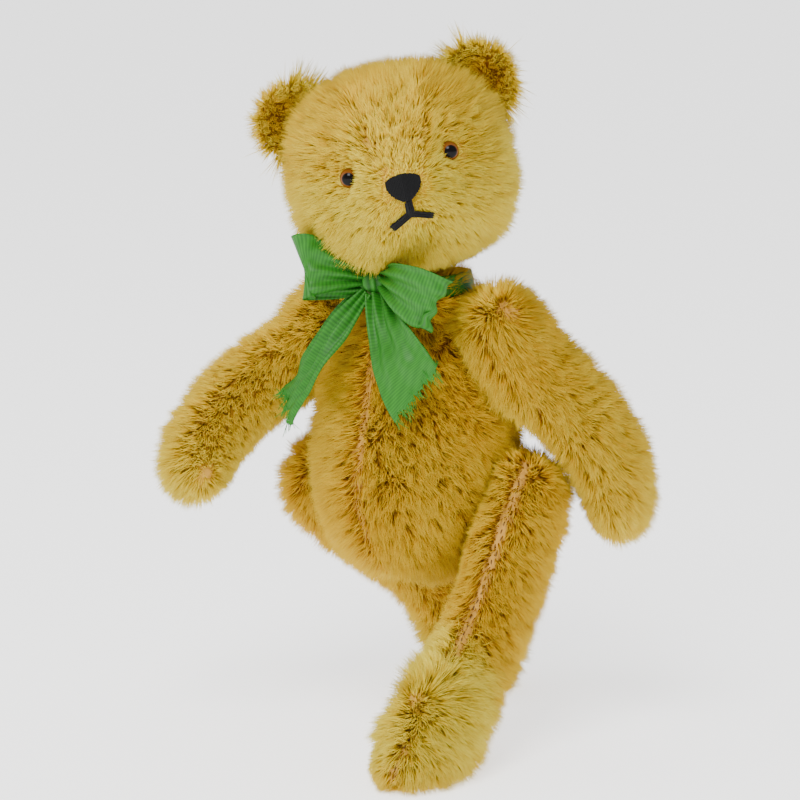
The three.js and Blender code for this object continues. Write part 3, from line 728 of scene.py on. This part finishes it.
def curve_through(rows, t):
    """Rows of numbers read as one smooth curve at the places t, from 0 to 1."""
    rows = np.array(rows, float)
    place = np.clip(t, 0, 1) * (len(rows) - 1)
    k = np.minimum(place.astype(int), len(rows) - 2)
    f = (place - k)[:, None]
    a, b, c, d = rows[np.maximum(k - 1, 0)], rows[k], rows[k + 1], rows[np.minimum(k + 2, len(rows) - 1)]
    return b + 0.5 * f * (c - a + f * (2 * a - 5 * b + 4 * c - d + f * (3 * (b - c) + d - a)))


def woven(name, grid, node, closed=False, thick=0.00022):
    """A strip of ribbon from a grid of points, along by across, ribbed and given its thickness."""
    long, wide = grid.shape[:2]
    run = np.roll(grid, -1, 0) - np.roll(grid, 1, 0) if closed else np.gradient(grid, axis=0)
    face_way = unit(np.cross(run, np.gradient(grid, axis=1))) * thick / 2
    bm = bmesh.new()
    layer = bm.loops.layers.uv.new("OFBake")
    ribbed = bm.verts.layers.float.new("painted_ridge_light")
    sides = [[[bm.verts.new(row) for row in line] for line in grid + face_way * way] for way in (1, -1)]
    for side in sides:
        # Alternate rows are painted lighter: a painted highlight where the ribs catch the light.
        for i, line in enumerate(side):
            for k, vert in enumerate(line):
                vert[ribbed] = 0.25 + 0.6 * (i % 2) + 0.1 * math.sin(i * 0.7 + k)
    over, under = sides
    quads = []
    for i in range(long if closed else long - 1):
        j = (i + 1) % long
        for k in range(wide - 1):
            quads.append(((over[i][k], over[j][k], over[j][k + 1], over[i][k + 1]), k, i))
            quads.append(((under[i][k], under[i][k + 1], under[j][k + 1], under[j][k]), k, i))
        quads.append(((over[i][0], under[i][0], under[j][0], over[j][0]), 0, i))
        quads.append(((over[i][-1], over[j][-1], under[j][-1], under[i][-1]), wide - 2, i))
    if not closed:
        for k in range(wide - 1):
            quads.append(((over[0][k], over[0][k + 1], under[0][k + 1], under[0][k]), k, 0))
            quads.append(((over[-1][k], under[-1][k], under[-1][k + 1], over[-1][k + 1]), k, long - 2))
    for corners, k, i in quads:
        face = bm.faces.new(corners)
        face.smooth = True
        for loop, (u, v) in zip(face.loops, ((0, 0), (0, 1), (1, 1), (1, 0))):
            loop[layer].uv = (0.02 + 0.96 * (k + u) / wide, 0.02 + 0.96 * (i + v) / long)
    bmesh.ops.recalc_face_normals(bm, faces=bm.faces)
    mesh = bpy.data.meshes.new(name)
    bm.to_mesh(mesh)
    bm.free()
    mesh.materials.append(green)
    piece = as_object(name, mesh, "torso")
    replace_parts(piece, node)
    return piece


def strip_grid(points, widths, across, steps, lanes, ripple, seed, slant=0.0, raw=False):
    """Points of a ribbon that follows a line, drawn into pleats wherever it is held narrower than it was woven."""
    t = np.linspace(0, 1, steps)
    line = curve_through(points, t) / 1000 + throat
    wide_way = curve_through(across, t)
    width = curve_through([[w] for w in widths], t)[:, 0] / 1000
    run = unit(np.gradient(line, axis=0))
    wide_way = unit(wide_way - run * (wide_way * run).sum(1)[:, None])
    thin_way = np.cross(run, wide_way)
    u = np.linspace(-0.5, 0.5, lanes)[None, :]
    spare = np.sqrt(np.maximum((RIBBON_WIDE / width) ** 2 - 1, 0))[:, None]
    pleat = np.minimum(width[:, None] / (2 * math.pi * 3) * math.sqrt(2) * spare * 0.75, 0.0009)
    draw = np.random.default_rng(seed)
    lean = draw.uniform(0, 6.28, 4)
    fold = pleat * np.sin(2 * math.pi * 3 * (u + 0.5) + lean[0] + 1.5 * t[:, None])
    fold = fold + ripple * np.sin(2 * math.pi * (1.1 * t[:, None] + 0.5 * u) + lean[1])
    fold = fold + ripple * 0.4 * np.sin(2 * math.pi * (2.3 * t[:, None] - 0.9 * u) + lean[2])
    ribs = 0.00006 * (np.arange(steps) % 2)[:, None]
    shift = slant * u * np.clip((t[:, None] - 0.6) / 0.4, 0, 1)
    if raw:
        shift = shift + 0.0006 * draw.normal(size=(1, lanes)) * (t[:, None] > 0.97)
    return (
        line[:, None] + wide_way[:, None] * (u * width[:, None])[..., None]
        + thin_way[:, None] * (fold + ribs)[..., None] + run[:, None] * shift[..., None]
    )


def fray(name, grid, count, longest, seed):
    """Loose threads at a cut end, each carrying on the way the cloth ran."""
    draw = np.random.default_rng(seed)
    end, before = grid[-1], grid[-4]
    lines = []
    for k in range(count):
        f = draw.uniform(0, len(end) - 1.001)
        i = int(f)
        at = end[i] + (end[i + 1] - end[i]) * (f - i)
        way = unit(end[i] - before[i]) + draw.normal(0, 0.16, 3)
        bend = draw.normal(0, 0.25, 3)
        size = longest * draw.uniform(0.35, 1.0)
        start = at - unit(way) * 0.0008
        lines.append([start + (way * s + bend * s * s * 0.5) * size for s in np.linspace(0, 1, 5)])
    return strands(name, lines, 0.00007, "torso", loose_green)


loose_green = plain_material("loose green threads", (0.030, 0.200, 0.020), 0.7)
loose_green.node_tree.nodes["Principled BSDF"].inputs["Specular IOR Level"].default_value = 0.15
throat = neck - (0.0014, -0.001, 0.1259)


def neck_band():
    """The ribbon round the neck, folded in three; tied_at is the radius of its lower edge."""
    tied_at, flat_radius, height, rows = 0.0136, 0.0138, 0.0052, 7
    turn = np.linspace(0, 2 * math.pi, 161)[:-1]
    path = np.concatenate([np.linspace(0, 1, rows), np.linspace(0.96, 0.04, rows), np.linspace(0, 1, rows)])
    out = np.repeat([0.0, 0.0006, 0.0012], rows)
    grid = np.zeros((len(turn), len(path), 3))
    for i, a in enumerate(turn):
        sway = 0.0003 * math.sin(3 * a) + 0.00006 * (i % 2)
        radius = tied_at + out + sway - 0.0010 * path
        z = 0.1196 + height * path + 0.0004 * math.sin(2 * a + 1)
        grid[i] = np.stack([radius * math.cos(a), radius * math.sin(a) - 0.001, z], 1) + throat
    band = woven("neck_band", grid, "ribbon_band", closed=True, thick=0.00018)


def bow_loop(name, node, points, widths, across, seed):
    """A loop of the bow: out from the knot, over and back."""
    grid = strip_grid(points, widths, across, 96, LANES, 0.0003, seed)
    loop = woven(name, grid, node)


def bow_tail(name, node, points, widths, across, slant, seed):
    """A tail of the bow, cut on a slant, its end frayed."""
    grid = strip_grid(points, widths, across, 90, LANES, 0.0007, seed, slant, raw=True)
    tail = woven(name, grid, node)
    threads = fray(name + "_fray", grid, 90, 0.0042, seed + 1)


def knot():
    """The crossing of the tie: the ribbon drawn tight round itself in a few upright pleats."""
    centre = np.array([-0.001, -0.0204, 0.1242]) + throat
    bm = bmesh.new()
    bm.loops.layers.uv.new("OFBake")
    bmesh.ops.create_uvsphere(bm, u_segments=72, v_segments=24, radius=1.0, calc_uvs=True)
    ribbed = bm.verts.layers.float.new("painted_ridge_light")
    for vert in bm.verts:
        turn = math.atan2(vert.co.y, vert.co.x)
        pleat = 1 + 0.10 * math.sin(9 * turn + 1.2 * vert.co.z) * (1 - vert.co.z**2)
        # The pleats' crests are painted lighter and their folds darker, in step with the pleat shape: painted light
        # and shade.
        vert[ribbed] = 0.35 + 0.35 * math.sin(9 * turn + 1.2 * vert.co.z)
        square = 1.12 - 0.12 * abs(vert.co.z) ** 3
        vert.co = (vert.co.x * 0.0034 * pleat * square, vert.co.y * 0.0024 * pleat * square, vert.co.z * 0.0031)
    bmesh.ops.translate(bm, verts=bm.verts, vec=Vector(centre))
    mesh = bpy.data.meshes.new("bow_knot")
    bm.to_mesh(mesh)
    bm.free()
    mesh.shade_smooth()
    mesh.materials.append(green)
    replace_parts(as_object("bow_knot", mesh, "torso"), "ribbon_knot")


neck_band()
knot()
# For each length of ribbon: points along it and its widths there in millimetres, and the way it lies across.
bow_loop("bow_loop_right", "ribbon_loop_right",
         [[-3.4, -21.4, 125.4], [-8, -27, 127], [-13, -31.4, 128.4], [-15.4, -31, 128], [-13.6, -28.6, 127],
          [-8, -24.4, 124.6], [-3.4, -20.6, 123.4]],
         [5, 10, 16, 17, 16, 10, 5],
         [[0, 0, 1], [-0.2, 0, 1], [-0.4, 0, 1], [-0.45, 0, 1], [-0.4, 0, 1], [-0.2, 0, 1], [0, 0, 1]], 61)
bow_loop("bow_loop_left", "ribbon_loop_left",
         [[1.6, -20.8, 125.4], [9, -27.6, 125], [18, -30.6, 123], [22.4, -28.8, 121.4], [19, -26, 120.2],
          [9, -24.0, 121.4], [1.8, -20.0, 123.8]],
         [5, 11, 15, 14, 13, 10, 5],
         [[0, 0, 1], [0.1, 0, 1], [0.3, 0, 1], [0.4, 0, 1], [0.3, 0, 1], [0.1, 0, 1], [0, 0, 1]], 64)
bow_tail("bow_tail_right", "ribbon_tail_right",
         [[-2.6, -21.4, 121.6], [-7.6, -26.4, 113.2], [-11.6, -31.6, 105], [-15.2, -33, 98],
          [-18.4, -33.8, 92.4]],
         [5, 9, 12, 14, 16],
         [[1, 0.2, 0], [1, -0.2, 0], [1, -0.5, 0.1], [1, -0.6, 0.1], [1, -0.6, 0.1]], 0.003, 67)
bow_tail("bow_tail_left", "ribbon_tail_left",
         [[0.8, -21.4, 121.8], [6.2, -26.6, 114.5], [11.6, -30.4, 108.6], [15.4, -31.8, 103.6],
          [18.8, -31.8, 98.6]],
         [5, 11, 15, 16.5, 17],
         [[1, 0, 0.3], [1, 0, 0.5], [1, 0.1, 0.55], [1, 0.15, 0.5], [1, 0.2, 0.45]], -0.006, 71)


# --- Joint hardware --------------------------------------------------------------------------------------------
# Inside every joint a cotter pin draws two pressed-board discs together through the cloth, on steel washers. None of
# it shows from outside.
board = plain_material("pressed board", (0.30, 0.20, 0.11), 0.85)
steel = plain_material("plain steel", (0.50, 0.50, 0.50), 0.35, 1.0)
for name, node in nodes.items():
    if name.endswith(("disc", "washer", "pin", "shank")):
        node.data.materials.clear()
        node.data.materials.append(board if name.endswith("disc") else steel)


# --- Floor, light and camera -----------------------------------------------------------------------------------
# A wide white table that gives off light of its own, a broad soft key light from above the front, a weak fill from
# the side and a white surround. The camera looks at the bear's front from a little above.
def studio():
    bm = bmesh.new()
    bmesh.ops.create_grid(bm, x_segments=1, y_segments=1, size=30.0)
    mesh = bpy.data.meshes.new("table")
    bm.to_mesh(mesh)
    bm.free()
    table = bpy.data.objects.new("table", mesh)
    bpy.context.scene.collection.objects.link(table)
    white = plain_material("lit white table", (0.95, 0.95, 0.95), 0.8)
    glow = white.node_tree.nodes["Principled BSDF"].inputs
    glow["Emission Color"].default_value = (1.0, 1.0, 1.0, 1)
    glow["Emission Strength"].default_value = 1.4
    mesh.materials.append(white)
    world = bpy.data.worlds.new("studio")
    bpy.context.scene.world = world
    world.use_nodes = True
    world.node_tree.nodes["Background"].inputs["Color"].default_value = (1.0, 1.0, 1.0, 1)
    world.node_tree.nodes["Background"].inputs["Strength"].default_value = 0.85
    for name, place, size, power in (("key", (0.25, -0.9, 1.1), 0.6, 20), ("fill", (-0.9, -0.5, 0.5), 0.8, 3)):
        lamp = bpy.data.lights.new(name, "AREA")
        lamp.size = size
        lamp.energy = power
        lit = bpy.data.objects.new(name, lamp)
        lit.location = place
        lit.rotation_euler = (Vector((0, 0, 0.09)) - Vector(place)).to_track_quat("-Z", "Y").to_euler()
        bpy.context.scene.collection.objects.link(lit)


def camera():
    turn, rise, distance, seen_width, sensor = math.radians(32), math.radians(10), 0.85, 0.209, 36
    aim = Vector((-0.0057, -0.0077, 0.0900))
    back = Vector((math.sin(turn) * math.cos(rise), -math.cos(turn) * math.cos(rise), math.sin(rise)))
    lens = bpy.data.cameras.new("camera")
    lens.sensor_width = sensor
    lens.lens = sensor * distance / seen_width
    lens.clip_end = 50
    seen = bpy.data.objects.new("camera", lens)
    seen.location = aim + back * distance
    seen.rotation_euler = (-back).to_track_quat("-Z", "Y").to_euler()
    bpy.context.scene.collection.objects.link(seen)
    bpy.context.scene.camera = seen


studio()
camera()
